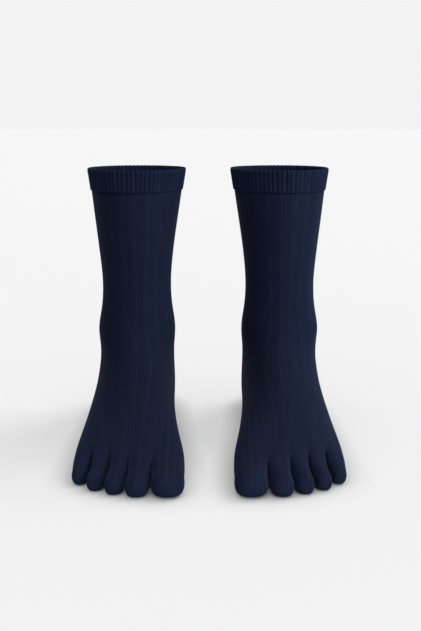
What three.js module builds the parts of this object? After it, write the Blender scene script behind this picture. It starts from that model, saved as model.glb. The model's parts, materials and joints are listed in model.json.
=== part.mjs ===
// A pair of toe socks in the worn shape, standing side by side on their soles, millimetres, +Z up.
// Toes point to -Y. The right foot's sock is at -X, the left one is its mirror image at +X.
// Each sock is a knitted tube with five toe pockets, and a ribbed double cuff around its mouth.

import * as THREE from "three";

// Driving sizes
const HEEL_BACK_Y = 127.5; // world y of the back of the heel
const LEG_SPACING = 142; // between the two leg lines
const SOCK_WALL = 1.8; // one layer of knitted cloth
const CUFF_TOP = 250;
const CUFF_BOTTOM = 229.3;
const SOCK_TOP = 229; // 0.3 under the cuff
const RIB_COUNT = 77; // of the one-and-one rib around the cuff
const RIB_CREST = 1.0; // how far a rib stands out from the leg's cloth at the cuff's foot
const RIB_GROOVE = 0.1; // how far the cloth between two ribs stands out there
const CUFF_FLARE = 1.3; // how much further out the cuff stands just under its top edge
const RIB_SCALLOP = 0.7; // how far a groove dips in the cuff's top edge
const SHOULDER_DROP = 2; // from the cuff's top edge down to where it is widest
const CROWN_IN = 0.9; // how far the top edge's outer rim lies inside the widest place
const INNER_RIM_DROP = 0.6; // of the top edge's inner rim
const THROAT_DROP = 2.2; // from the top edge down to where the inside turns straight
const THROAT_IN = 0.5; // how much narrower the inside is there
const SOLE_SINK = 2; // how far a rounded section is sunk before the floor cuts it flat
const WEB_LEAN = 7; // how much further ahead a gap between toes starts on the sole
const TOE_CLEARANCE = 0.35; // from a toe's side to the middle of the gap
const DIP_DEPTH = 2.4; // of the soft valley that runs into each gap on top of the foot
const DIP_LENGTH = 15;
const DIP_WIDTH = 3.8;

// Counts: columns around the tube, half of them over the top, and rings along it
const COLUMNS = 40;
const HALF = COLUMNS / 2;
const LEG_RINGS = 24;
const FOREFOOT_RINGS = 5;
const ARC_STEPS = 120;

// Sections of the foot and leg, from the mouth to past the toes' roots. Each is a plane across the
// sock. front_s, front_z is its point on the shin or instep and back_s, back_z its point on the calf,
// heel or sole (s counts forward from the heel). lateral and medial are half widths from the leg line.
// wide: where between back and front it is widest. ridge: how far the instep's crest leans to the big
// toe. arch: how high the medial sole is lifted. front_n, back_n: how square each half is.
const SECTION_COLUMNS = ["front_s", "front_z", "back_s", "back_z", "lateral", "medial", "wide", "ridge",
  "arch", "front_n", "back_n"];
const SECTIONS = [
  [103.0, 250.0, -2.0, 250.0, 44.2, 47.2, 0.46, 0.00, 0.0, 2.0, 2.1],
  [102.6, 229.0, -1.5, 229.0, 43.0, 45.4, 0.46, 0.00, 0.0, 2.0, 2.1],
  [101.6, 200.0, 2.5, 200.0, 39.9, 40.9, 0.46, 0.00, 0.0, 2.0, 2.1],
  [101.0, 180.0, 7.0, 180.0, 37.4, 37.8, 0.47, 0.00, 0.0, 2.0, 2.0],
  [100.5, 160.0, 12.0, 160.0, 34.9, 35.5, 0.49, 0.00, 0.0, 2.0, 1.9],
  [100.3, 145.0, 16.0, 145.0, 33.2, 34.3, 0.51, 0.00, 0.0, 2.0, 1.8],
  [100.5, 131.0, 19.0, 130.0, 33.0, 34.3, 0.53, 0.00, 0.0, 2.0, 1.8],
  [101.3, 119.5, 20.5, 115.5, 33.9, 35.3, 0.54, 0.00, 0.0, 2.0, 1.8],
  [102.6, 110.0, 20.3, 102.5, 35.9, 37.1, 0.54, 0.00, 0.0, 2.0, 1.8],
  [104.5, 101.5, 18.5, 87.5, 38.1, 38.5, 0.53, 0.00, 0.0, 2.0, 1.9],
  [107.0, 94.5, 14.5, 70.5, 37.4, 37.5, 0.52, 0.02, 0.0, 2.0, 2.0],
  [110.5, 88.5, 8.5, 52.5, 36.7, 36.5, 0.51, 0.04, 0.0, 2.0, 2.1],
  [115.0, 83.3, 3.5, 36.0, 37.1, 36.6, 0.50, 0.06, 0.0, 2.0, 2.2],
  [120.5, 78.7, 0.5, 21.5, 38.1, 37.0, 0.50, 0.08, 0.0, 2.0, 2.3],
  [126.5, 74.3, 2.5, 9.0, 39.1, 37.3, 0.50, 0.10, 0.0, 2.0, 2.4],
  [133.0, 70.2, 10.5, 1.0, 39.9, 37.3, 0.49, 0.11, 0.0, 2.0, 2.6],
  [140.0, 66.1, 25.0, 0.0, 40.6, 37.2, 0.47, 0.12, 0.0, 2.0, 2.8],
  [148.0, 61.9, 46.0, 0.0, 41.3, 37.4, 0.44, 0.13, 1.5, 2.0, 3.0],
  [156.5, 57.3, 72.0, 0.0, 42.2, 38.4, 0.41, 0.15, 7.0, 2.0, 3.1],
  [165.5, 52.4, 100.0, 0.0, 43.0, 40.2, 0.39, 0.17, 12.0, 2.0, 3.1],
  [175.0, 47.2, 129.0, 0.0, 44.0, 42.6, 0.38, 0.19, 11.5, 2.0, 3.1],
  [185.0, 41.8, 157.0, 0.0, 44.9, 45.3, 0.38, 0.21, 6.0, 2.0, 3.1],
  [195.5, 36.4, 182.0, 0.0, 45.5, 48.1, 0.39, 0.23, 1.0, 2.1, 3.1],
  [207.0, 31.2, 204.0, 0.0, 45.1, 50.0, 0.41, 0.25, 0.0, 2.2, 3.0],
  [220.0, 26.8, 220.0, 0.0, 44.2, 50.7, 0.43, 0.25, 0.0, 2.3, 3.0],
  [236.0, 23.2, 236.0, 0.0, 42.6, 51.2, 0.45, 0.25, 0.0, 2.4, 3.0],
];
const MOUTH = 1; // the row that lies at SOCK_TOP
const FOREFOOT_START = 21; // the row from which the rings begin to follow the toes' roots

// Borders of the toes from the outer side of the foot to the inner one. web_s, web_x: where the
// border starts on top of the foot. tip_x: where it runs out. column: the column that meets it.
const BORDERS = [
  { web_s: 210.0, web_x: -45.5, tip_x: -43.3, column: 0 },
  { web_s: 207.5, web_x: -27.4, tip_x: -30.3, column: 3 },
  { web_s: 217.0, web_x: -11.7, tip_x: -15.2, column: 6 },
  { web_s: 224.5, web_x: 4.0, tip_x: 1.6, column: 10 },
  { web_s: 230.5, web_x: 23.1, tip_x: 22.2, column: 14 },
  { web_s: 230.0, web_x: 50.7, tip_x: 52.3, column: 20 },
];

// Toes from the little one to the big one. tip_s: its foremost point. height: thickness before the
// pad. tip_height: height of the rounded end. square: how square its cross section is.
const TOES = [
  { tip_s: 232.8, height: 16.5, tip_height: 15.5, square: 2.2 },
  { tip_s: 244.5, height: 17.5, tip_height: 16.0, square: 2.2 },
  { tip_s: 251.7, height: 18.5, tip_height: 16.5, square: 2.2 },
  { tip_s: 257.2, height: 19.5, tip_height: 17.5, square: 2.2 },
  { tip_s: 259.2, height: 22.5, tip_height: 20.5, square: 2.2 },
];

// Stations along a toe. reach: how far from the web to where the tip's rounding starts. turn: how
// far round the tip, in degrees. width: share of the toe's full width.
const STATIONS = [
  { reach: 0.1, turn: 0, width: 1.0 },
  { reach: 0.32, turn: 0, width: 0.98 },
  { reach: 0.64, turn: 0, width: 0.97 },
  { reach: 1.0, turn: 0, width: 1.0 },
  { reach: 1.0, turn: 30, width: 1.0 },
  { reach: 1.0, turn: 56, width: 1.0 },
  { reach: 1.0, turn: 76, width: 1.0 },
];
const TOE_LEVEL = 0.47; // height of a toe's widest place, as a share of its thickness
const OWN_SECTION = 0.55; // the reach at which a toe has its own section all round
const PAD_START = 0.4; // the reach from which a toe's height runs over to the tip's
const TIP_DROOP = 0.6; // how far the tip's middle lies below the widest place
const TIP_LENGTH = 0.8; // of a toe's half width, from where the rounding starts to the tip
const TOE_SINK = 1.2; // how far a toe's underside is sunk before the floor cuts it flat
const PAD_SQUARE = 3.0; // how square a toe's lower half is
// How slowly a toe's width, upper half and lower half draw in towards the tip, as powers of a cosine
const DRAW_IN = { width: 0.7, top: 0.8, pad: 0.55 };
const WEB_STEPS = 3; // edges down a gap from the instep to the sole
const WEB_ANGLE = 0.62; // radians above and below the level where a toe's sides begin

const clothBlue = new THREE.MeshStandardMaterial({ color: 0x1a2135, roughness: 0.95, metalness: 0 });

const mix = (a, b, t) => a + (b - a) * t;
const smooth = (a, b, x) => {
  const t = Math.min(1, Math.max(0, (x - a) / (b - a)));
  return t * t * (3 - 2 * t);
};
const power = (value, exponent) => Math.sign(value) * Math.abs(value) ** exponent;

// One section at any place between the table's rows
const interpolant = new THREE.CubicInterpolant(
  SECTIONS.map((_, row) => row), SECTIONS.flat(), SECTION_COLUMNS.length);

function sectionAt(u) {
  const values = Array.from(interpolant.evaluate(u));
  return Object.fromEntries(SECTION_COLUMNS.map((name, i) => [name, values[i]]));
}

// A point of a section. angle runs from pi at the outer side over the front to 0 at the inner side,
// and on below to -pi. The floor cuts the rounded sole flat and the arch lifts its inner side.
function sectionPoint(c, angle) {
  const front = angle >= 0;
  const n = front ? c.front_n : c.back_n;
  const side = power(Math.cos(angle), 2 / n);
  const rise = power(Math.sin(angle), 2 / n);
  const sink = smooth(14, 2, c.back_z) * SOLE_SINK;
  const depth = Math.hypot(c.front_s - c.back_s, c.front_z - c.back_z);
  const t = front ? c.wide + (1 - c.wide) * rise : c.wide + (c.wide + sink / depth) * rise;
  const half = side < 0 ? c.lateral : c.medial;
  const x = side * half + (front ? c.ridge * c.medial * rise * rise : 0);
  const lift = front ? 0 : c.arch * smooth(-0.3, 1, side) * rise * rise;
  const z = mix(c.back_z, c.front_z, t) + lift;
  return new THREE.Vector3(x, mix(c.back_s, c.front_s, Math.max(t, 0)), Math.max(z, 0));
}

// Half of a section as a run of points with the length walked so far
function halfSection(c, front) {
  const points = [];
  let walked = 0;
  for (let i = 0; i <= ARC_STEPS; i += 1) {
    const p = sectionPoint(c, (front ? 1 : -1) * Math.PI * (1 - i / ARC_STEPS));
    if (i > 0) walked += p.distanceTo(points[i - 1].p);
    points.push({ p, walked });
  }
  return { points, length: walked };
}

function pointAlong(run, share) {
  const goal = share * run.length;
  let i = 1;
  while (i < ARC_STEPS && run.points[i].walked < goal) i += 1;
  const [a, b] = [run.points[i - 1], run.points[i]];
  return a.p.clone().lerp(b.p, Math.min(1, (goal - a.walked) / (b.walked - a.walked || 1)));
}

function shareAtX(run, x) {
  let i = 1;
  while (i < ARC_STEPS && run.points[i].p.x < x) i += 1;
  const [a, b] = [run.points[i - 1], run.points[i]];
  return mix(a.walked, b.walked, (x - a.p.x) / (b.p.x - a.p.x || 1)) / run.length;
}

// Where a column stands on its half section: evenly spread on the leg, lined up with the toes ahead
function columnShare(run, column, gather) {
  const even = column / HALF;
  if (gather === 0) return even;
  const last = BORDERS.length - 1;
  let b = 1;
  while (b < last && column > BORDERS[b].column) b += 1;
  const [from, to] = [BORDERS[b - 1], BORDERS[b]];
  const start = b === 1 ? 0 : shareAtX(run, from.web_x);
  const end = b === last ? 1 : shareAtX(run, to.web_x);
  const toes = mix(start, end, (column - from.column) / (to.column - from.column));
  return mix(even, toes, gather);
}

// The cloth's outer face: u counts the table's rows, column goes round from the outer side over
// the top to the inner side and back below
function skin(u, column) {
  const c = sectionAt(u);
  const front = column <= HALF;
  const run = halfSection(c, front);
  const k = front ? column : COLUMNS - column;
  return pointAlong(run, columnShare(run, k, smooth(15, 22, u)));
}

// Where the tube ends at a column: on the line of the toes' roots
function webS(column) {
  const front = column <= HALF;
  const k = front ? column : COLUMNS - column;
  let b = 1;
  while (k > BORDERS[b].column) b += 1;
  const [from, to] = [BORDERS[b - 1], BORDERS[b]];
  const lean = front || k === 0 ? 0 : WEB_LEAN * smooth(0, 3, k) * smooth(20, 14, k);
  return mix(from.web_s, to.web_s, (k - from.column) / (to.column - from.column)) + lean;
}

function webU(column) {
  const goal = webS(column);
  let [low, high] = [FOREFOOT_START, SECTIONS.length - 1];
  for (let i = 0; i < 24; i += 1) {
    const middle = (low + high) / 2;
    if (skin(middle, column).y < goal) low = middle; else high = middle;
  }
  return (low + high) / 2;
}

// A point on top of the forefoot, let down into the soft valleys that run into the gaps
function dipped(p) {
  BORDERS.slice(1, -1).forEach(({ web_s, web_x }) => {
    const near = smooth(web_s - DIP_LENGTH, web_s, p.y);
    p.z -= DIP_DEPTH * near * Math.exp(-(((p.x - web_x) / DIP_WIDTH) ** 2));
  });
  return p;
}

// Outer face of the sock as points and triangles; each ring's and each loop's ends meet
function outerFace() {
  const points = [];
  const faces = [];
  const add = (p) => points.push(p) - 1;
  const bridge = (a, b) => a.forEach((_, i) => {
    const j = (i + 1) % a.length;
    faces.push([a[i], b[i], a[j]], [a[j], b[i], b[j]]);
  });

  const ring = (place) => Array.from({ length: COLUMNS }, (_, k) => {
    const p = skin(place(k), k);
    return add(k <= HALF ? dipped(p) : p);
  });
  const ends = Array.from({ length: COLUMNS }, (_, k) => webU(k));
  const rings = [];
  for (let i = 0; i <= LEG_RINGS; i += 1) {
    rings.push(ring(() => mix(MOUTH, FOREFOOT_START, i / LEG_RINGS)));
  }
  for (let i = 1; i <= FOREFOOT_RINGS; i += 1) {
    rings.push(ring((k) => mix(FOREFOOT_START, ends[k], i / FOREFOOT_RINGS)));
  }
  rings.slice(1).forEach((next, i) => bridge(rings[i], next));
  const roots = rings.at(-1);

  // The gaps' floors, from the instep down to the sole, shared by the two toes beside each
  const webs = BORDERS.slice(1, -1).map(({ column }) => {
    const top = points[roots[column]];
    const bottom = points[roots[COLUMNS - column]];
    const between = [];
    for (let i = 1; i < WEB_STEPS; i += 1) {
      between.push(add(top.clone().lerp(bottom, i / WEB_STEPS)));
    }
    return between;
  });

  TOES.forEach((toe, i) => {
    const [outer, inner] = [BORDERS[i], BORDERS[i + 1]];
    const first = i === 0;
    const last = i === TOES.length - 1;
    const loop = [];
    const over = inner.column - outer.column;
    const [left, right] = [first ? Math.PI : Math.PI - WEB_ANGLE, last ? 0 : WEB_ANGLE];
    for (let k = 0; k <= over; k += 1) {
      loop.push({ at: roots[outer.column + k], angle: mix(left, right, k / over) });
    }
    if (!last) {
      webs[i].forEach((at, k) => {
        loop.push({ at, angle: mix(right, -right, (k + 1) / WEB_STEPS) });
      });
    }
    for (let k = last ? 1 : 0; k <= over - (first ? 1 : 0); k += 1) {
      loop.push({ at: roots[COLUMNS - inner.column + k], angle: mix(-right, -left, k / over) });
    }
    if (!first) {
      [...webs[i - 1]].reverse().forEach((at, k) => {
        loop.push({ at, angle: mix(-left, left - 2 * Math.PI, (k + 1) / WEB_STEPS) });
      });
    }

    // A toe starts with the height of the tube's end and takes its own section on the way
    const clear = (edge) => (edge ? 0 : TOE_CLEARANCE);
    const round = ((inner.tip_x - outer.tip_x) / 2) * TIP_LENGTH;
    const section = ({ reach, turn, width }) => {
      const angle = THREE.MathUtils.degToRad(turn);
      const shrink = Math.cos(angle) ** DRAW_IN.width;
      const settled = smooth(0, OWN_SECTION, reach);
      return loop.map(({ at, angle: a }) => {
        const below = Math.sin(a) < 0;
        const square = below ? PAD_SQUARE : toe.square;
        const side = power(Math.cos(a), 2 / square);
        const rise = power(Math.sin(a), 2 / square) * Math.cos(angle) ** (below ? DRAW_IN.pad : DRAW_IN.top);
        const root = points[at];
        const s = mix(root.y, toe.tip_s - round, reach) + round * Math.sin(angle);
        const along = (s - root.y) / (toe.tip_s - root.y);
        const low = mix(outer.web_x, outer.tip_x, along) + clear(first);
        const high = mix(inner.web_x, inner.tip_x, along) - clear(last);
        const x = mix(low, high, 0.5) + side * ((high - low) / 2) * width * shrink;
        const top = mix(toe.height, toe.tip_height, smooth(PAD_START, 1, reach));
        const middle = top * TOE_LEVEL;
        const half = below ? middle + TOE_SINK : top - middle;
        const z = middle + rise * half - TIP_DROOP * Math.sin(angle);
        const startX = Math.min(Math.max(root.x, low), high);
        return add(new THREE.Vector3(mix(startX, x, settled), s, Math.max(mix(root.z, z, settled), 0)));
      });
    };
    let previous = loop.map(({ at }) => at);
    STATIONS.forEach((station) => {
      const next = section(station);
      bridge(previous, next);
      previous = next;
    });
    const middle = previous.reduce((sum, at) => sum.add(points[at]), new THREE.Vector3());
    const tip = add(middle.divideScalar(previous.length).setY(toe.tip_s));
    previous.forEach((at, k) => faces.push([at, tip, previous[(k + 1) % previous.length]]));
  });
  return { points, faces, mouth: rings[0] };
}

// World place of a point given as x from the leg line, s from the heel, z
const toWorld = (p) => [p.x - LEG_SPACING / 2, HEEL_BACK_Y - p.y, p.z];

function mesh(name, positions, triangles) {
  const geometry = new THREE.BufferGeometry();
  geometry.setAttribute("position", new THREE.Float32BufferAttribute(positions.flat(), 3));
  geometry.setIndex(triangles.flat());
  geometry.computeVertexNormals();
  const body = new THREE.Mesh(geometry, clothBlue.clone());
  body.name = name;
  return body;
}

// The hollow sock: the outer face, the same face moved in by the wall, and a flat rim at the mouth
function sock(name) {
  const { points, faces, mouth } = outerFace();
  const normals = points.map(() => new THREE.Vector3());
  faces.forEach(([a, b, c]) => {
    const across = points[c].clone().sub(points[a]);
    const normal = points[b].clone().sub(points[a]).cross(across);
    [a, b, c].forEach((at) => normals[at].add(normal));
  });
  const inside = points.map((p, i) => p.clone().addScaledVector(normals[i].normalize(), SOCK_WALL));
  mouth.forEach((at) => {
    const level = normals[at].clone().setZ(0).normalize();
    inside[at].copy(points[at]).addScaledVector(level, SOCK_WALL);
  });
  const count = points.length;
  const triangles = [...faces];
  faces.forEach(([a, b, c]) => triangles.push([a + count, c + count, b + count]));
  mouth.forEach((a, i) => {
    const b = mouth[(i + 1) % mouth.length];
    triangles.push([a, b, a + count], [b, b + count, a + count]);
  });
  return mesh(name, [...points, ...inside].map(toWorld), triangles);
}

// The cuff: a double band whose outer face carries the ribs and whose inner face is plain
function cuff(name) {
  const positions = [];
  const triangles = [];
  const bandPoint = (share, out, z) => {
    const u = MOUTH * (1 - (z - SOCK_TOP) / (CUFF_TOP - SOCK_TOP));
    const column = share * COLUMNS;
    const step = 0.05;
    const p = skin(u, column % COLUMNS);
    const along = skin(u, (column + step) % COLUMNS).sub(skin(u, (column - step + COLUMNS) % COLUMNS));
    return positions.push(toWorld(
      new THREE.Vector3(p.x, p.y, z).add(new THREE.Vector3(-along.y, along.x, 0).setLength(out)))) - 1;
  };
  const ribbed = (level, drop, flare) => Array.from({ length: RIB_COUNT * 3 }, (_, i) => {
    const groove = i % 3 === 0;
    const out = (groove ? RIB_GROOVE : RIB_CREST) + flare;
    return bandPoint(i / (RIB_COUNT * 3), out, level - (groove ? drop : 0));
  });
  const plain = (level, out) => Array.from({ length: RIB_COUNT }, (_, i) =>
    bandPoint(i / RIB_COUNT, out, level));
  const band = (a, b) => a.forEach((_, i) => {
    const j = (i + 1) % a.length;
    triangles.push([a[i], a[j], b[i]], [a[j], b[j], b[i]]);
  });
  // Three edges of a ribbed row against one edge of a plain row
  const gather = (ribs, flat, flip) => flat.forEach((_, i) => {
    const next = (i + 1) % flat.length;
    const row = [0, 1, 2, 3].map((n) => ribs[(3 * i + n) % ribs.length]);
    const fan = [[row[0], flat[i], row[1]], [row[1], flat[i], row[2]],
      [row[2], flat[i], flat[next]], [row[2], flat[next], row[3]]];
    fan.forEach(([a, b, c]) => triangles.push(flip ? [a, b, c] : [a, c, b]));
  });

  const foot = ribbed(CUFF_BOTTOM, 0, 0);
  const shoulder = ribbed(CUFF_TOP - SHOULDER_DROP, 0, CUFF_FLARE);
  const crown = ribbed(CUFF_TOP, RIB_SCALLOP, CUFF_FLARE - CROWN_IN);
  const inner = plain(CUFF_TOP - INNER_RIM_DROP, CUFF_FLARE - SOCK_WALL);
  const throat = plain(CUFF_TOP - THROAT_DROP, CUFF_FLARE - SOCK_WALL - THROAT_IN);
  const hem = plain(CUFF_BOTTOM, -SOCK_WALL);
  band(foot, shoulder);
  band(shoulder, crown);
  gather(crown, inner, false);
  band(inner, throat);
  band(throat, hem);
  gather(foot, hem, true);
  return mesh(name, positions, triangles);
}

const pair = new THREE.Group();
pair.name = "toe_socks";
const right = new THREE.Group();
right.name = "right";
right.add(sock("right_sock"), cuff("right_cuff"));
const left = new THREE.Group();
left.name = "left";
left.scale.x = -1;
left.add(sock("left_sock"), cuff("left_cuff"));
pair.add(right, left);

export default pair;
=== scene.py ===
"""A pair of knitted toe socks in the worn, filled-out shape, with ribbed double cuffs, on a light table."""

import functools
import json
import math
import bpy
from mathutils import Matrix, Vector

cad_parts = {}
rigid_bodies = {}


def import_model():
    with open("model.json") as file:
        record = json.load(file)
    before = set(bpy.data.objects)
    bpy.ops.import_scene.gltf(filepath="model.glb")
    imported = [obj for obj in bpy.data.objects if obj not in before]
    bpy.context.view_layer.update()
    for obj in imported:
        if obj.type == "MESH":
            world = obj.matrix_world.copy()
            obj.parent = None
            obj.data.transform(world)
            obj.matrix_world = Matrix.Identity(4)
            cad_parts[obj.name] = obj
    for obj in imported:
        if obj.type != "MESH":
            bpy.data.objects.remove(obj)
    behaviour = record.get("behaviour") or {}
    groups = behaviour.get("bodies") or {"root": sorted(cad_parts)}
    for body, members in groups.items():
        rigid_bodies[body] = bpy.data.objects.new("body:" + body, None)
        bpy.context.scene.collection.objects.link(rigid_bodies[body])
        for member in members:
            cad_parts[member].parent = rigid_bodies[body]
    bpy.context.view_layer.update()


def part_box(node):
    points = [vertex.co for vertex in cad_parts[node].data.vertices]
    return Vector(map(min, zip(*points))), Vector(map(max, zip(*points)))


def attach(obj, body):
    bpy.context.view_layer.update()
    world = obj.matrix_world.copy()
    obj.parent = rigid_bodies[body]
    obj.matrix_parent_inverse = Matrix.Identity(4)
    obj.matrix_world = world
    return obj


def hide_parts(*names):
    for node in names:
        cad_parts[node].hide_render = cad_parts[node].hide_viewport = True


bl_info = {
    "name": "Toe Socks",
    "version": (1, 0, 0),
    "blender": (4, 5, 0),
    "location": "View3D > Sidebar > Toe Socks",
    "description": "Knits a pair of toe socks with ribbed cuffs and stands them in a plain studio",
    "category": "Add Mesh",
}

import bmesh
import bpy
from mathutils import Vector

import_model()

MM = 0.001
WHITE = (1, 1, 1, 1)

# The knitted tube is drawn from sections, in millimetres, for the right foot: x from the leg line (the
# little toe's side is negative), s forward from the back of the heel, z above the floor.
HEEL_BACK_Y = 127.5
LEG_LINE_X = -71.0
SOCK_TOP_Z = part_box("right_sock")[1][2] / MM
SOLE_SINK = 2.0  # a rounded section is sunk this deep before the floor cuts it flat
SINK_HEIGHTS = (14.0, 2.0)  # of a section's underside, between which that sets in
ARCH_SPAN = (-0.3, 1.0)  # across the sole, where its arch begins and is highest; 1 is the inner side
WEB_LEAN = 7.0  # a gap between toes starts this much further ahead on the sole
TOE_CLEARANCE = 0.3  # from a toe's side to the middle of the gap

COLUMNS = 40  # around the tube, from the outer side over the instep to the inner side and back below
HALF = COLUMNS // 2
INSTEP, SOLE = COLUMNS // 4, COLUMNS * 3 // 4  # the columns down their middles
LEG_RINGS = 24  # from the mouth to the forefoot
FOREFOOT_RINGS = 5  # from there to the toes' roots
ARC_STEPS = 120  # that half a section is measured in
SEARCH_STEPS = 24  # halvings in which a row is found

# Each row is a plane across the sock: its point on the shin or instep, its point on the calf, heel or
# sole, half widths to both sides, where between back and front it is widest, how far the instep's crest
# leans to the big toe, how high the arch is lifted, and how square the front and back halves are.
SECTION_COLUMNS = ("front_s", "front_z", "back_s", "back_z", "lateral", "medial", "wide", "ridge",
                   "arch", "front_n", "back_n")
SECTIONS = (
    (103.0, 250.0, -2.0, 250.0, 44.2, 47.2, 0.46, 0.00, 0.0, 2.0, 2.1),
    (102.6, 229.0, -1.5, 229.0, 43.0, 45.4, 0.46, 0.00, 0.0, 2.0, 2.1),
    (101.6, 200.0, 2.5, 200.0, 39.9, 40.9, 0.46, 0.00, 0.0, 2.0, 2.1),
    (101.0, 180.0, 7.0, 180.0, 37.4, 37.8, 0.47, 0.00, 0.0, 2.0, 2.0),
    (100.5, 160.0, 12.0, 160.0, 34.9, 35.5, 0.49, 0.00, 0.0, 2.0, 1.9),
    (100.3, 145.0, 16.0, 145.0, 33.2, 34.3, 0.51, 0.00, 0.0, 2.0, 1.8),
    (100.5, 131.0, 19.0, 130.0, 33.0, 34.3, 0.53, 0.00, 0.0, 2.0, 1.8),
    (101.3, 119.5, 20.5, 115.5, 33.9, 35.3, 0.54, 0.00, 0.0, 2.0, 1.8),
    (102.6, 110.0, 20.3, 102.5, 35.9, 37.1, 0.54, 0.00, 0.0, 2.0, 1.8),
    (104.5, 101.5, 18.5, 87.5, 38.1, 38.5, 0.53, 0.00, 0.0, 2.0, 1.9),
    (107.0, 94.5, 14.5, 70.5, 37.4, 37.5, 0.52, 0.02, 0.0, 2.0, 2.0),
    (110.5, 88.5, 8.5, 52.5, 36.7, 36.5, 0.51, 0.04, 0.0, 2.0, 2.1),
    (115.0, 83.3, 3.5, 36.0, 37.1, 36.6, 0.50, 0.06, 0.0, 2.0, 2.2),
    (120.5, 78.7, 0.5, 21.5, 38.1, 37.0, 0.50, 0.08, 0.0, 2.0, 2.3),
    (126.5, 74.3, 2.5, 9.0, 39.1, 37.3, 0.50, 0.10, 0.0, 2.0, 2.4),
    (133.0, 70.2, 10.5, 1.0, 39.9, 37.3, 0.49, 0.11, 0.0, 2.0, 2.6),
    (140.0, 66.1, 25.0, 0.0, 40.6, 37.2, 0.47, 0.12, 0.0, 2.0, 2.8),
    (148.0, 61.9, 46.0, 0.0, 41.3, 37.4, 0.44, 0.13, 1.5, 2.0, 3.0),
    (156.5, 57.3, 72.0, 0.0, 42.2, 38.4, 0.41, 0.15, 7.0, 2.0, 3.1),
    (165.5, 52.4, 100.0, 0.0, 43.0, 40.2, 0.39, 0.17, 12.0, 2.0, 3.1),
    (175.0, 47.2, 129.0, 0.0, 44.0, 42.6, 0.38, 0.19, 11.5, 2.0, 3.1),
    (185.0, 41.8, 157.0, 0.0, 44.9, 45.3, 0.38, 0.21, 6.0, 2.0, 3.1),
    (195.5, 36.4, 182.0, 0.0, 45.5, 48.1, 0.39, 0.23, 1.0, 2.1, 3.1),
    (207.0, 31.2, 204.0, 0.0, 45.1, 50.0, 0.41, 0.25, 0.0, 2.2, 3.0),
    (220.0, 26.8, 220.0, 0.0, 44.2, 50.7, 0.43, 0.25, 0.0, 2.3, 3.0),
    (236.0, 23.2, 236.0, 0.0, 42.6, 51.2, 0.45, 0.25, 0.0, 2.4, 3.0),
)
MOUTH = 1  # the row at the top of the sock's body, under the cuff
TUBE_TOP = 0.99  # the tube starts just above that, between the cuff's hems, so no light shows there
GATHER_ROWS = (15, 22)  # the rows between which the columns move over to meet the toes ahead
FOREFOOT_START = 21  # the row from which rings begin to follow the toes' roots
LAST_ROW = len(SECTIONS) - 1

# Borders of the toes from the outer side of the foot to the inner one: where each starts on top of the
# foot, where it runs out at the tips, and the column that meets it.
BORDER_COLUMNS = ("web_s", "web_x", "tip_x", "column")
BORDERS = tuple(dict(zip(BORDER_COLUMNS, row)) for row in (
    (210.0, -45.5, -43.3, 0),
    (207.5, -27.4, -30.3, 3),
    (217.0, -11.7, -15.2, 6),
    (224.5, 4.0, 1.6, 10),
    (230.5, 23.1, 22.2, 14),
    (230.0, 50.7, 52.3, 20),
))

# Toes from the little one to the big one: foremost point, thickness before the pad, height of the
# rounded end, how square the cross section is.
TOE_COLUMNS = ("tip_s", "height", "tip_height", "square")
TOES = tuple(dict(zip(TOE_COLUMNS, row)) for row in (
    (232.8, 16.5, 15.5, 2.2),
    (244.5, 17.5, 16.0, 2.2),
    (251.7, 18.5, 16.5, 2.2),
    (257.2, 19.5, 17.5, 2.2),
    (259.2, 22.5, 20.5, 2.2),
))

# Stations along a toe: how far from the web to where the tip's rounding starts, how far round the tip
# in degrees, and the share of the toe's full width.
STATIONS = ((0.1, 0, 1.0), (0.32, 0, 0.98), (0.64, 0, 0.97), (1.0, 0, 1.0), (1.0, 30, 1.0), (1.0, 56, 1.0),
            (1.0, 76, 1.0))
TIP_LENGTH = 0.8  # of a tip's rounding, against half the toe's width
TIP_DROOP = 0.6  # a tip's end is this much lower than the toe
TOE_SINK = 1.2  # a toe's underside is sunk this deep before the floor cuts it flat
TOE_LEVEL = 0.47  # height of a toe's widest line, against its thickness
PAD_SQUARE = 3.0  # how square a toe's lower half is
PAD_START = 0.4  # share of the way to the tip where the thickness begins to change to the rounded end's
TOE_START = 0.55  # share of that way after which nothing is left of the foot's own shape
# How slowly a toe's width, upper half and lower half draw in towards the tip, as powers of a cosine
DRAW_IN = {"width": 0.7, "top": 0.8, "pad": 0.55}
WEB_STEPS = 3  # edges down the floor of a gap between toes
WEB_ANGLE = 0.62  # how far round a toe, in radians from its widest line, a gap's floor begins
WEB_WALES = 6  # wales picked up down the side of a gap
DIP_DEPTH = 2.4  # of the soft valley that runs into each gap on top of the foot
DIP_LENGTH = 15.0
DIP_WIDTH = 3.8

# The cuff is one strip of rib knit folded over at the top. Its rows run from the hem inside, up, over
# the fold and down outside: height, and how far the cloth's middle stands out from the leg in a rib's
# crest and in the groove between two ribs.
CUFF_ROWS = (
    (229.5, -1.05, -1.42), (232.0, -1.05, -1.42), (237.5, -1.05, -1.42), (242.5, -0.95, -1.35),
    (246.0, -0.60, -1.00), (248.2, -0.05, -0.35), (249.35, 0.60, 0.30), (249.45, 1.10, 0.70),
    (248.8, 1.60, 0.85), (247.2, 1.75, 0.85), (244.0, 1.35, 0.45), (238.0, 0.80, -0.10),
    (232.0, 0.55, -0.30), (230.2, 0.50, -0.35), (229.25, 0.35, -0.35),
)
CROWN_ROWS = (6, 7)  # the rows at the fold
SCALLOP = 0.7  # a groove dips this much in them
RIB_COUNT = 77
RIB_POINTS = 6  # points around the cuff for each rib
RIB_FULLNESS = 0.9  # power of a rib's round crest; below 1 the rib is wider than the groove
BESIDE = 0.05  # columns to both sides, between which the way round the leg is taken

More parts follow.
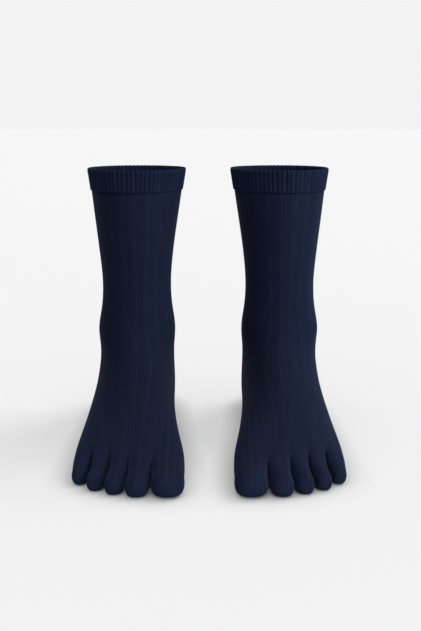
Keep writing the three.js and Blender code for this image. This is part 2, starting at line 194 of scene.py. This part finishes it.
# The knit's drawing, in wales and courses. The stitches' height gives both the bump and the painted shade in
# the lines between wales.
STITCH_BEND = 1.44 * math.pi  # turns half a wale into how far round the yarn it reaches
LINE_WIDTH = 2.0  # power that widens the dark line of painted shade between two wales
STITCH_SLANT = 1.6  # courses that a stitch's leg climbs over a wale's width
COURSE_DEPTH = 0.22  # share of the relief that goes from course to course
STREAKS = 0.55  # share of the dye's unevenness that goes from wale to wale
FUZZ = 0.25  # loose fibres, against a stitch's height
EVEN_KNIT = 0.66  # the stitches' mean height, for the toes' tips, where the wales run together
LEG_RELIEF = 0.3  # how far the stitches stand out, and how dark their painted groove shade is, on the leg against the foot
RELIEF_ROWS = (9, 17)  # the rows between which that changes
CUFF_RELIEF = 0.45  # how far they stand out, and how dark their painted groove shade is, on the cuff
JERSEY_DEPTH, RIB_DEPTH = 0.4 * MM, 0.3 * MM  # from a groove to a stitch's top
BUMP_STRENGTH = 0.7

# The finishes. Cotton yarn is rough and hairy: hardly any gloss, and a faint bloom where the cloth turns
# away. Its real fibres are too fine to show, so they are drawn as coarse as they need to show.
COTTON = {"Roughness": 0.95, "Specular IOR Level": 0.02, "Sheen Weight": 0.1, "Sheen Roughness": 0.28}
FIBRE_SIZE, FIBRE_DETAIL = 0.556, 2.0  # millimetres, where a real fibre has about 0.02
CLOUD_SIZE, CLOUD_DETAIL = 11.8, 3.0  # of the dye's unevenness, in millimetres
OPAL = {"Roughness": 0.95, "Specular IOR Level": 0.1}  # sanded acrylic, which shows no reflections

# The studio, in metres, watts and degrees: a flat round light table that runs out to the horizon, lit from
# below, in a white room; its glow is darkened close to the socks as a painted contact shadow. A turn is
# from pointing straight down: about X, then about Z. Each lamp lights the socks alone or the table alone,
# as with black flags beside it, so the table stays even.
TABLE_RADIUS = 60.0
TABLE_SIDES = 64
ROOM_LIGHT = 0.896
TABLE_GLOW = 0.487  # makes the table, with its lamps, as bright as the room
TABLE_SHADE = 0.026  # how near a thing has to be for the table's glow beside it to be darkened, as a painted contact shadow
SUNS = {
    "pair": {"energy": 2.0, "width": 45.0, "turn": (22.0, 0.0, 146.0)},
    "table": {"energy": 2.1, "width": 34.0, "turn": (46.0, 0.0, 122.0)},
}
PAIR_LAMPS = {
    "right_softbox": {"energy": 18.0, "size": (1.0, 1.0), "spread": 180.0,
                      "place": (0.76, -0.45, 0.53), "turn": (66.0, 0.0, 57.0)},
    "toe_strip": {"energy": 0.045, "size": (0.36, 0.05), "spread": 12.0,
                  "place": (0.0, -0.62, 0.03), "turn": (87.5, 0.0, 0.0)},
}
CAMERA_PLACE = (-0.0038, -0.7305, 0.290)
CAMERA_TURN = (76.9, 0.0, -0.434)
CAMERA_LENS = 46.67  # millimetres


def mix(a, b, t):
    return a + (b - a) * t


def smooth(a, b, x):
    t = min(1.0, max(0.0, (x - a) / (b - a)))
    return t * t * (3 - 2 * t)


def power(value, exponent):
    return math.copysign(abs(value) ** exponent, value)


def section_at(u):
    """The section at any place between the table's rows, on a smooth curve through them."""
    row = min(int(u), LAST_ROW - 1)
    t = u - row
    before = SECTIONS[row - 1] if row else SECTIONS[1]
    after = SECTIONS[row + 2] if row + 2 <= LAST_ROW else SECTIONS[row]
    blend = (-0.5 * t ** 3 + t * t - 0.5 * t, 1.5 * t ** 3 - 2.5 * t * t + 1,
             -1.5 * t ** 3 + 2 * t * t + 0.5 * t, 0.5 * t ** 3 - 0.5 * t * t)
    values = [sum(w * v for w, v in zip(blend, column))
              for column in zip(before, SECTIONS[row], SECTIONS[row + 1], after)]
    return dict(zip(SECTION_COLUMNS, values))


def section_point(c, angle):
    """A point of a section: angle runs from pi at the outer side over the front to 0 and on to -pi."""
    front = angle >= 0
    n = c["front_n"] if front else c["back_n"]
    side = power(math.cos(angle), 2 / n)
    rise = power(math.sin(angle), 2 / n)
    sink = smooth(*SINK_HEIGHTS, c["back_z"]) * SOLE_SINK
    depth = math.hypot(c["front_s"] - c["back_s"], c["front_z"] - c["back_z"])
    wide = c["wide"]
    t = wide + (1 - wide) * rise if front else wide + (wide + sink / depth) * rise
    half = c["lateral"] if side < 0 else c["medial"]
    x = side * half + (c["ridge"] * c["medial"] * rise * rise if front else 0)
    lift = 0 if front else c["arch"] * smooth(*ARCH_SPAN, side) * rise * rise
    z = mix(c["back_z"], c["front_z"], t) + lift
    return Vector((x, mix(c["back_s"], c["front_s"], max(t, 0)), max(z, 0)))


@functools.lru_cache(maxsize=None)
def half_section(u, front):
    """Half of a section as points, each with the length walked so far."""
    c = section_at(u)
    points, walked = [], 0.0
    for i in range(ARC_STEPS + 1):
        p = section_point(c, (1 if front else -1) * math.pi * (1 - i / ARC_STEPS))
        if i:
            walked += (p - points[-1][0]).length
        points.append((p, walked))
    return points


def point_along(run, share):
    """The point at a share of a half section's length."""
    goal = share * run[-1][1]
    i = 1
    while i < ARC_STEPS and run[i][1] < goal:
        i += 1
    (a, from_a), (b, to_b) = run[i - 1], run[i]
    return a.lerp(b, min(1.0, (goal - from_a) / ((to_b - from_a) or 1)))


def share_at_x(run, x):
    """The share of a half section's length at which it reaches a place across the foot."""
    i = 1
    while i < ARC_STEPS and run[i][0].x < x:
        i += 1
    (a, from_a), (b, to_b) = run[i - 1], run[i]
    return mix(from_a, to_b, (x - a.x) / ((b.x - a.x) or 1)) / run[-1][1]


def border_after(column):
    """The toes' border at or past a column, counted over the top."""
    return next(b for b in range(1, len(BORDERS)) if column <= BORDERS[b]["column"])


def column_share(run, column, gather):
    """Where a column stands on its half section: evenly on the leg, lined up with the toes ahead."""
    even = column / HALF
    if gather == 0:
        return even
    b = border_after(column)
    before, after = BORDERS[b - 1], BORDERS[b]
    start = 0 if b == 1 else share_at_x(run, before["web_x"])
    end = 1 if b == len(BORDERS) - 1 else share_at_x(run, after["web_x"])
    toes = mix(start, end, (column - before["column"]) / (after["column"] - before["column"]))
    return mix(even, toes, gather)


def skin(u, column):
    """The cloth's outer face at a row and a column."""
    front = column <= HALF
    run = half_section(u, front)
    share = column_share(run, column if front else COLUMNS - column, smooth(*GATHER_ROWS, u))
    return point_along(run, share)


def web_s(column):
    """Where the tube ends at a column: on the line of the toes' roots."""
    front = column <= HALF
    k = column if front else COLUMNS - column
    b = border_after(k)
    before, after = BORDERS[b - 1], BORDERS[b]
    across = (k - before["column"]) / (after["column"] - before["column"])
    inside = smooth(0, BORDERS[1]["column"], k) * smooth(HALF, BORDERS[-2]["column"], k)
    return mix(before["web_s"], after["web_s"], across) + (0 if front else WEB_LEAN * inside)


def web_row(column):
    """The row at which a column reaches that line."""
    goal = web_s(column)
    low, high = float(FOREFOOT_START), float(LAST_ROW)
    for _ in range(SEARCH_STEPS):
        middle = (low + high) / 2
        if skin(middle, column).y < goal:
            low = middle
        else:
            high = middle
    return (low + high) / 2


def dipped(p, top):
    """A point on top of the forefoot, let down into the soft valleys that run into the gaps."""
    if not top:
        return p
    for border in BORDERS[1:-1]:
        near = smooth(border["web_s"] - DIP_LENGTH, border["web_s"], p.y)
        p = p - Vector((0, 0, DIP_DEPTH * near * math.exp(-((p.x - border["web_x"]) / DIP_WIDTH) ** 2)))
    return p


@functools.lru_cache(maxsize=None)
def walked_to(quarter):
    """Length of cloth from the mouth to a quarter of a row, mean of front and back."""
    if quarter <= MOUTH * 4:
        return 0.0
    step = sum((skin(quarter / 4, k) - skin((quarter - 1) / 4, k)).length for k in (INSTEP, SOLE)) / 2
    return walked_to(quarter - 1) + step


def cloth_length(u):
    """Length of cloth from the mouth to any place between the rows."""
    quarter = int(u * 4)
    if u >= LAST_ROW:
        return walked_to(quarter)
    return mix(walked_to(quarter), walked_to(quarter + 1), u * 4 - quarter)


def in_scene(p):
    """A point given from the leg line, the heel and the floor in millimetres, in the frame in metres."""
    return Vector((p.x + LEG_LINE_X, HEEL_BACK_Y - p.y, p.z)) * MM


def extrude_ring(bm, ring, places):
    """Extrude a closed ring of vertices and move the new ring, point by point, to its places."""
    edges = [bm.edges.get(pair) for pair in zip(ring, ring[1:] + ring[:1])]
    made = set(bmesh.ops.extrude_edge_only(bm, edges=edges)["geom"])
    new = [next(e.other_vert(v) for e in v.link_edges if e.other_vert(v) in made) for v in ring]
    for vert, place in zip(new, places):
        vert.co = place
    return new


def lay_knit(bm, uv, ring, new, spans, courses, new_courses):
    """Give the faces between two rings their wale and course numbers, which the knit is drawn from."""
    for i, (wale, next_wale) in enumerate(spans):
        j = (i + 1) % len(ring)
        corners = {ring[i]: (wale, courses[i]), ring[j]: (next_wale, courses[j]),
                   new[j]: (next_wale, new_courses[j]), new[i]: (wale, new_courses[i])}
        for loop in bm.faces.get((ring[i], ring[j], new[j], new[i])).loops:
            loop[uv].uv = corners[loop.vert]


def make_object(name, bm, material):
    """Turn a finished mesh into a smooth object of one material, at the scene's origin."""
    mesh = bpy.data.meshes.new(name)
    bm.to_mesh(mesh)
    bm.free()
    mesh.shade_smooth()
    mesh.materials.append(material)
    obj = bpy.data.objects.new(name, mesh)
    bpy.context.scene.collection.objects.link(obj)
    return obj


def add_modifier(obj, kind, **settings):
    modifier = obj.modifiers.new(kind.title(), kind)
    for key, value in settings.items():
        setattr(modifier, key, value)


def face_out(bm, mirrored):
    """Turn the left foot's copy over and make every face look out of the cloth."""
    if mirrored:
        bmesh.ops.scale(bm, vec=(-1, 1, 1), verts=bm.verts)
    bmesh.ops.recalc_face_normals(bm, faces=bm.faces)


def knit_tube(bm, uv, stitch, sizes):
    """The leg and foot: a circle of cloth extruded ring by ring down to the toes' roots."""
    ring = bmesh.ops.create_circle(bm, segments=COLUMNS, radius=1.0)["verts"]
    for k, vert in enumerate(ring):
        vert.co = in_scene(skin(TUBE_TOP, k))
    wales = [sizes.wale_count * k / COLUMNS for k in range(COLUMNS + 1)]
    spans = list(zip(wales, wales[1:]))
    ends = [web_row(k) for k in range(COLUMNS)]
    rows = [[mix(MOUTH, FOREFOOT_START, i / LEG_RINGS)] * COLUMNS for i in range(1, LEG_RINGS + 1)]
    rows += [[mix(FOREFOOT_START, ends[k], i / FOREFOOT_RINGS) for k in range(COLUMNS)]
             for i in range(1, FOREFOOT_RINGS + 1)]
    courses = [0.0] * COLUMNS
    for vert in ring:
        vert[stitch] = LEG_RELIEF
    for us in rows:
        new = extrude_ring(bm, ring, [in_scene(dipped(skin(u, k), k <= HALF)) for k, u in enumerate(us)])
        for vert, u in zip(new, us):
            vert[stitch] = mix(LEG_RELIEF, 1, smooth(*RELIEF_ROWS, u))
        new_courses = [cloth_length(u) * MM / sizes.course for u in us]
        lay_knit(bm, uv, ring, new, spans, courses, new_courses)
        ring, courses = new, new_courses
    return ring, wales, courses


def knit_webs(bm, roots):
    """The floors of the gaps: an edge from the instep to the sole, cut into steps."""
    webs = []
    for border in BORDERS[1:-1]:
        top, bottom = roots[border["column"]], roots[COLUMNS - border["column"]]
        bm.edges.new((top, bottom))
        web = [top]
        for left in range(WEB_STEPS, 1, -1):
            rest = bm.edges.get((web[-1], bottom))
            web.append(bmesh.utils.edge_split(rest, web[-1], 1 / left)[1])
        webs.append([*web, bottom])
    return webs


def web_run(web, column, turn, wales, courses, sign):
    """Down one gap's floor: vertex, angle round the toe, course and wale, with the wales picked up there."""
    bottom = COLUMNS - column
    picked_up = sign * WEB_WALES
    # shifted by part of a wale, so that it meets the sole's wales where it ends
    picked_up += (wales[bottom] - wales[column] - picked_up + 0.5) % 1 - 0.5
    steps = [k / WEB_STEPS for k in range(WEB_STEPS + 1)]
    return [(vert, mix(*turn, t), mix(courses[column], courses[bottom], t), wales[column] + picked_up * t)
            for vert, t in zip(web, steps)]


def toe_loop(number, roots, webs, wales, courses):
    """The closed loop that a toe grows from: over the top, down a gap, back under and up the other gap."""
    outer, inner = BORDERS[number]["column"], BORDERS[number + 1]["column"]
    first, last = number == 0, number == len(TOES) - 1
    over = inner - outer
    left, right = (math.pi if first else math.pi - WEB_ANGLE), (0.0 if last else WEB_ANGLE)

    def tube_run(column, turn):
        return [(roots[(column + k) % COLUMNS], mix(*turn, k / over), courses[(column + k) % COLUMNS],
                 wales[column + k]) for k in range(over + 1)]

    runs = [tube_run(outer, (left, right))]
    if not last:
        runs.append(web_run(webs[number], inner, (right, -right), wales, courses, 1))
    runs.append(tube_run(COLUMNS - inner, (-right, -left)))
    if not first:
        up = web_run(webs[number - 1], outer, (left - 2 * math.pi, -left), wales, courses, -1)
        runs.append(up[::-1])
    steps = [pair for run in runs for pair in zip(run, run[1:])]
    spans = [(here[3], there[3]) for here, there in steps]
    ring, angles, rows, _ = map(list, zip(*(here for here, _ in steps)))
    return ring, angles, rows, spans


def toe_place(number, root, angle, station):
    """Where a point of a toe's loop lies at a station along the toe."""
    toe, outer, inner = TOES[number], BORDERS[number], BORDERS[number + 1]
    reach, turn, width = station
    turn = math.radians(turn)
    below = math.sin(angle) < 0
    square = PAD_SQUARE if below else toe["square"]
    side = power(math.cos(angle), 2 / square)
    rise = power(math.sin(angle), 2 / square) * math.cos(turn) ** DRAW_IN["pad" if below else "top"]
    rounding = (inner["tip_x"] - outer["tip_x"]) / 2 * TIP_LENGTH
    s = mix(root.y, toe["tip_s"] - rounding, reach) + rounding * math.sin(turn)
    along = (s - root.y) / (toe["tip_s"] - root.y)
    low = mix(outer["web_x"], outer["tip_x"], along) + (TOE_CLEARANCE if number else 0)
    high = mix(inner["web_x"], inner["tip_x"], along) - (TOE_CLEARANCE if number < len(TOES) - 1 else 0)
    x = (low + high) / 2 + side * (high - low) / 2 * width * math.cos(turn) ** DRAW_IN["width"]
    top = mix(toe["height"], toe["tip_height"], smooth(PAD_START, 1, reach))
    middle = top * TOE_LEVEL
    half = middle + TOE_SINK if below else top - middle
    z = middle + rise * half - TIP_DROOP * math.sin(turn)
    settled = smooth(0, TOE_START, reach)
    start_x = min(max(root.x, low), high)
    return Vector((mix(start_x, x, settled), s, max(mix(root.z, z, settled), 0)))


def knit_toe(bm, uv, stitch, number, roots, webs, wales, courses, course):
    """One toe pocket: the loop round its root extruded from station to station and drawn in at the tip."""
    ring, angles, rows, spans = toe_loop(number, roots, webs, wales, courses)
    start = [Vector((v.co.x / MM - LEG_LINE_X, HEEL_BACK_Y - v.co.y / MM, v.co.z / MM)) for v in ring]
    for station in STATIONS:
        places = [in_scene(toe_place(number, root, angle, station)) for root, angle in zip(start, angles)]
        new_rows = [row + (place - vert.co).length / course for row, place, vert in zip(rows, places, ring)]
        new = extrude_ring(bm, ring, places)
        lay_knit(bm, uv, ring, new, spans, rows, new_rows)
        ring, rows = new, new_rows
        for vert in ring:
            vert[stitch] = math.cos(math.radians(station[1]))
    middle = sum((v.co for v in ring), Vector()) / len(ring)
    tip = Vector((middle.x, (HEEL_BACK_Y - TOES[number]["tip_s"]) * MM, middle.z))
    new = extrude_ring(bm, ring, [tip] * len(ring))
    lay_knit(bm, uv, ring, new, spans, rows, [row + 1 for row in rows])
    bmesh.ops.pointmerge(bm, verts=new, merge_co=tip)


def cuff_place(share, row, number):
    """A point of the folded cuff: share goes round the leg, row is one of the cuff's rows."""
    z, crest, groove = row
    bulge = (0.5 + 0.5 * math.cos(2 * math.pi * (share * RIB_COUNT - 0.5))) ** RIB_FULLNESS
    u = round(MOUTH * (1 - (z - SOCK_TOP_Z) / (SECTIONS[0][1] - SECTIONS[1][1])), 6)
    column = share * COLUMNS
    p = skin(u, column % COLUMNS)
    along = skin(u, (column + BESIDE) % COLUMNS) - skin(u, (column - BESIDE) % COLUMNS)
    out = Vector((-along.y, along.x, 0)).normalized() * mix(groove, crest, bulge)
    drop = SCALLOP * (1 - bulge) if number in CROWN_ROWS else 0
    return in_scene(Vector((p.x + out.x, p.y + out.y, z - drop)))


def knit_cuff(bm, uv, sizes):
    """The folded strip of rib: a circle extruded up the inside, over the fold and down the outside."""
    count = RIB_COUNT * RIB_POINTS
    ring = bmesh.ops.create_circle(bm, segments=count, radius=1.0)["verts"]
    spans = [(i / RIB_POINTS, (i + 1) / RIB_POINTS) for i in range(count)]
    courses = [0.0] * count
    for number, row in enumerate(CUFF_ROWS):
        places = [cuff_place(i / count, row, number) for i in range(count)]
        if number == 0:
            for vert, place in zip(ring, places):
                vert.co = place
            continue
        step = (places[0] - ring[0].co).length / sizes.course
        new = extrude_ring(bm, ring, places)
        new_courses = [course + step for course in courses]
        lay_knit(bm, uv, ring, new, spans, courses, new_courses)
        ring, courses = new, new_courses


def linear(code):
    """An sRGB hex colour as linear red, green, blue and alpha."""
    parts = [int(code[i:i + 2], 16) / 255 for i in (1, 3, 5)]
    return (*(p / 12.92 if p <= 0.04045 else ((p + 0.055) / 1.055) ** 2.4 for p in parts), 1.0)


def add_node(tree, kind, inputs=None, **settings):
    """Add a node, set its properties, and set or link its inputs."""
    node = tree.nodes.new(kind)
    for key, value in settings.items():
        setattr(node, key, value)
    for key, value in (inputs or {}).items():
        if isinstance(value, bpy.types.NodeSocket):
            tree.links.new(value, node.inputs[key])
        else:
            node.inputs[key].default_value = value
    return node


def knit_material(name, colours, depth):
    """Matt knitted cotton: every wale is a column of small V-shaped stitches with a dark line of painted
    shade beside it.

    Piece-dyed yarn takes the colour a little unevenly, most of all from wale to wale.
    """
    material = bpy.data.materials.new(name)
    material.use_nodes = True
    tree = material.node_tree
    tree.nodes.clear()

    knit = add_node(tree, "ShaderNodeUVMap", uv_map="knit").outputs["UV"]
    place = add_node(tree, "ShaderNodeSeparateXYZ", {0: knit}).outputs
    wale, course = place["X"], place["Y"]

    # a stitch's leg: from the line between two wales up over the yarn, slanting from course to course
    side = add_node(tree, "ShaderNodeMath", {0: wale, 1: 0.5}, operation="PINGPONG").outputs[0]
    bend = add_node(tree, "ShaderNodeMath", {0: side, 1: STITCH_BEND}, operation="MULTIPLY").outputs[0]
    round_yarn = add_node(tree, "ShaderNodeMath", {0: bend}, operation="SINE").outputs[0]
    leg = add_node(tree, "ShaderNodeMath", {0: round_yarn, 1: LINE_WIDTH}, operation="POWER").outputs[0]
    slant = add_node(tree, "ShaderNodeMath", {0: side, 1: STITCH_SLANT, 2: course},
                     operation="MULTIPLY_ADD").outputs[0]
    turns = add_node(tree, "ShaderNodeMath", {0: slant, 1: 2 * math.pi}, operation="MULTIPLY").outputs[0]
    wave = add_node(tree, "ShaderNodeMath", {0: turns}, operation="SINE").outputs[0]
    yarn = add_node(tree, "ShaderNodeMath", {0: wave, 1: COURSE_DEPTH, 2: 1 - COURSE_DEPTH},
                    operation="MULTIPLY_ADD").outputs[0]
    stitch = add_node(tree, "ShaderNodeAttribute", attribute_name="stitch").outputs["Fac"]
    legs = add_node(tree, "ShaderNodeMath", {0: leg, 1: yarn}, operation="MULTIPLY").outputs[0]
    height = add_node(tree, "ShaderNodeMix", {"Factor": stitch, 2: EVEN_KNIT, 3: legs}).outputs[0]

    # the dye's unevenness: one value for each wale, and soft clouds
    number = add_node(tree, "ShaderNodeMath", {0: wale}, operation="FLOOR").outputs[0]
    streak = add_node(tree, "ShaderNodeTexWhiteNoise", {"W": number}, noise_dimensions="1D").outputs["Value"]
    coords = add_node(tree, "ShaderNodeTexCoord").outputs["Object"]
    cloud = add_node(tree, "ShaderNodeTexNoise", {
        "Vector": coords, "Scale": 1 / (CLOUD_SIZE * MM), "Detail": CLOUD_DETAIL}).outputs["Fac"]
    clouds = add_node(tree, "ShaderNodeMath", {0: cloud, 1: 1 - STREAKS}, operation="MULTIPLY").outputs[0]
    uneven = add_node(tree, "ShaderNodeMath", {0: streak, 1: STREAKS, 2: clouds},
                      operation="MULTIPLY_ADD").outputs[0]
    dyed = add_node(tree, "ShaderNodeMix", {"Factor": uneven, 6: linear(colours.yarn_deep),
                                            7: linear(colours.yarn_light)}, data_type="RGBA")
    # painted shade: the dyed colour is darkened to the groove colour in the lines between wales, where the
    # stitches are low
    shaded = add_node(tree, "ShaderNodeMix", {"Factor": height, 6: linear(colours.groove),
                                              7: dyed.outputs[2]}, data_type="RGBA")

    # stitches and loose fibres stand out of the cloth
    fibre = add_node(tree, "ShaderNodeTexNoise", {
        "Vector": coords, "Scale": 1 / (FIBRE_SIZE * MM), "Detail": FIBRE_DETAIL}).outputs["Fac"]
    relief = add_node(tree, "ShaderNodeMath", {0: fibre, 1: FUZZ, 2: height},
                      operation="MULTIPLY_ADD").outputs[0]
    bump = add_node(tree, "ShaderNodeBump", {"Strength": BUMP_STRENGTH, "Distance": depth, "Height": relief})
    shader = add_node(tree, "ShaderNodeBsdfPrincipled", {
        **COTTON, "Base Color": shaded.outputs[2], "Sheen Tint": linear(colours.bloom),
        "Normal": bump.outputs["Normal"]})
    add_node(tree, "ShaderNodeOutputMaterial", {"Surface": shader.outputs[0]})
    return material


def opal_material(colours):
    """Opal acrylic lit from below: an even glow, darkened close to whatever stands on it as a painted
    contact shadow.
    """
    material = bpy.data.materials.new("opal_glow_painted_contact_shadow")
    material.use_nodes = True
    tree = material.node_tree
    tree.nodes.clear()
    # painted contact shadow: ambient occlusion darkens the glow near the socks
    near = add_node(tree, "ShaderNodeAmbientOcclusion", {"Distance": TABLE_SHADE}).outputs["AO"]
    glow = add_node(tree, "ShaderNodeMath", {0: near, 1: TABLE_GLOW}, operation="MULTIPLY").outputs[0]
    shader = add_node(tree, "ShaderNodeBsdfPrincipled", {
        **OPAL, "Base Color": linear(colours.floor), "Emission Color": WHITE, "Emission Strength": glow})
    add_node(tree, "ShaderNodeOutputMaterial", {"Surface": shader.outputs[0]})
    return material


def light_room(scene):
    """Even white light from all around."""
    world = bpy.data.worlds.new("studio_light")
    world.use_nodes = True
    background = world.node_tree.nodes["Background"].inputs
    background["Color"].default_value = WHITE
    background["Strength"].default_value = ROOM_LIGHT
    scene.world = world


def set_up(scene, data, place, turn):
    """Put a lamp or the camera in its place."""
    obj = bpy.data.objects.new(data.name, data)
    obj.location = place
    obj.rotation_euler = [math.radians(angle) for angle in turn]
    scene.collection.objects.link(obj)
    return obj


def aim_lamp(lamp, lit):
    """Let a lamp light one collection of objects, and stay out of the picture itself."""
    lamp.light_linking.receiver_collection = lit
    lamp.visible_camera = False


def hang_lamps(scene, table):
    """The suns and the lamps, for the socks or for the table."""
    lit = {name: bpy.data.collections.new(name) for name in SUNS}
    for obj in scene.objects:
        if obj.type == "MESH":
            lit["table" if obj == table else "pair"].objects.link(obj)
    for name, lamp in SUNS.items():
        sun = bpy.data.lights.new(f"{name}_sun", "SUN")
        sun.energy, sun.angle = lamp["energy"], math.radians(lamp["width"])
        aim_lamp(set_up(scene, sun, (0, 0, 1), lamp["turn"]), lit[name])
    for name, lamp in PAIR_LAMPS.items():
        light = bpy.data.lights.new(name, "AREA")
        light.shape, light.energy = "RECTANGLE", lamp["energy"]
        light.size, light.size_y = lamp["size"]
        light.spread = math.radians(lamp["spread"])
        aim_lamp(set_up(scene, light, lamp["place"], lamp["turn"]), lit["pair"])


def cast_on():
    """A new mesh, its wale and course numbers, and how far its stitches stand out and how dark their painted
    groove shade is.
    """
    bm = bmesh.new()
    return bm, bm.loops.layers.uv.new("knit"), bm.verts.layers.float.new("stitch")


class SockSizes(bpy.types.PropertyGroup):
    """Sizes of the cloth."""

    wall: bpy.props.FloatProperty(
        name="Wall", description="Thickness of one layer of jersey", default=0.0018, unit="LENGTH")
    cuff_layer: bpy.props.FloatProperty(
        name="Cuff layer", description="Thickness of one layer of the cuff's rib", default=0.0011,
        unit="LENGTH")
    wale_count: bpy.props.IntProperty(
        name="Wales", description="Columns of stitches around the sock", default=144, min=12)
    course: bpy.props.FloatProperty(
        name="Course", description="Height of one row of stitches", default=0.0014, unit="LENGTH")


class SockColours(bpy.types.PropertyGroup):
    """Colours of the yarn and of the studio, as sRGB hex values."""

    yarn_deep: bpy.props.StringProperty(
        name="Deep yarn", description="The darkest shade the dye gives the yarn", default="#101524")
    yarn_light: bpy.props.StringProperty(
        name="Light yarn", description="The lightest shade the dye gives the yarn", default="#182037")
    # painted shade: the colour of the shaded line between two columns of stitches
    groove: bpy.props.StringProperty(
        name="Groove", description="Between two columns of stitches", default="#06080e")
    bloom: bpy.props.StringProperty(
        name="Bloom", description="Tint of the loose fibres where the cloth turns away", default="#6a82b0")
    floor: bpy.props.StringProperty(
        name="Floor", description="Opal acrylic of the light table", default="#959595")


class SOCKS_OT_knit_bodies(bpy.types.Operator):
    """Knit both socks, from under the cuff down to the tips of the toe pockets"""

    bl_idname = "toe_socks.knit_bodies"
    bl_label = "Knit the Socks"

    def execute(self, context):
        sizes, colours = context.scene.sock_sizes, context.scene.sock_colours
        jersey = knit_material("cotton_jersey_navy", colours, JERSEY_DEPTH)
        for side in ("right", "left"):
            bm, uv, stitch = cast_on()
            roots, wales, courses = knit_tube(bm, uv, stitch, sizes)
            webs = knit_webs(bm, roots)
            for vert in (v for web in webs for v in web):
                vert[stitch] = 1.0
            for number in range(len(TOES)):
                knit_toe(bm, uv, stitch, number, roots, webs, wales, courses, sizes.course)
            face_out(bm, side == "left")
            sock = make_object(f"{side}_sock_jersey", bm, jersey)
            add_modifier(sock, "SUBSURF", levels=2, render_levels=2)
            add_modifier(sock, "SOLIDIFY", thickness=sizes.wall, offset=-1.0)
            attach(sock, "root")
            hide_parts(f"{side}_sock")
        return {"FINISHED"}


class SOCKS_OT_knit_cuffs(bpy.types.Operator):
    """Knit both ribbed cuffs, folded over at the mouth"""

    bl_idname = "toe_socks.knit_cuffs"
    bl_label = "Knit the Cuffs"

    def execute(self, context):
        sizes, colours = context.scene.sock_sizes, context.scene.sock_colours
        rib = knit_material("cotton_rib_navy", colours, RIB_DEPTH)
        for side in ("right", "left"):
            bm, uv, stitch = cast_on()
            knit_cuff(bm, uv, sizes)
            for vert in bm.verts:
                vert[stitch] = CUFF_RELIEF
            face_out(bm, side == "left")
            cuff = make_object(f"{side}_cuff_rib", bm, rib)
            add_modifier(cuff, "SUBSURF", levels=1, render_levels=1)
            add_modifier(cuff, "SOLIDIFY", thickness=sizes.cuff_layer, offset=0.0)
            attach(cuff, "root")
            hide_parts(f"{side}_cuff")
        return {"FINISHED"}


class SOCKS_OT_set_studio(bpy.types.Operator):
    """Set the light table, the white room, the soft lamps and the camera"""

    bl_idname = "toe_socks.set_studio"
    bl_label = "Set the Studio"

    def execute(self, context):
        scene = context.scene
        scene.view_settings.view_transform = "Standard"
        bm = bmesh.new()
        bmesh.ops.create_circle(bm, cap_ends=True, segments=TABLE_SIDES, radius=TABLE_RADIUS)
        table = make_object("studio_floor", bm, opal_material(scene.sock_colours))
        light_room(scene)
        hang_lamps(scene, table)
        camera = bpy.data.cameras.new("camera")
        camera.lens = CAMERA_LENS
        scene.camera = set_up(scene, camera, CAMERA_PLACE, CAMERA_TURN)
        return {"FINISHED"}


class SOCKS_PT_panel(bpy.types.Panel):
    """The pair's steps and sizes in the sidebar"""

    bl_idname = "SOCKS_PT_panel"
    bl_label = "Toe Socks"
    bl_space_type = "VIEW_3D"
    bl_region_type = "UI"
    bl_category = "Toe Socks"

    def draw(self, context):
        for group in (context.scene.sock_sizes, context.scene.sock_colours):
            for name in group.__annotations__:
                self.layout.prop(group, name)
        for step in STEPS:
            self.layout.operator(step.bl_idname)


STEPS = (SOCKS_OT_knit_bodies, SOCKS_OT_knit_cuffs, SOCKS_OT_set_studio)
CLASSES = (SockSizes, SockColours, *STEPS, SOCKS_PT_panel)


def register():
    for cls in CLASSES:
        bpy.utils.register_class(cls)
    bpy.types.Scene.sock_sizes = bpy.props.PointerProperty(type=SockSizes)
    bpy.types.Scene.sock_colours = bpy.props.PointerProperty(type=SockColours)


def unregister():
    del bpy.types.Scene.sock_colours
    del bpy.types.Scene.sock_sizes
    for cls in reversed(CLASSES):
        bpy.utils.unregister_class(cls)


def main():
    register()
    bpy.ops.toe_socks.knit_bodies()
    bpy.ops.toe_socks.knit_cuffs()
    bpy.ops.toe_socks.set_studio()


if __name__ == "__main__":
    main()
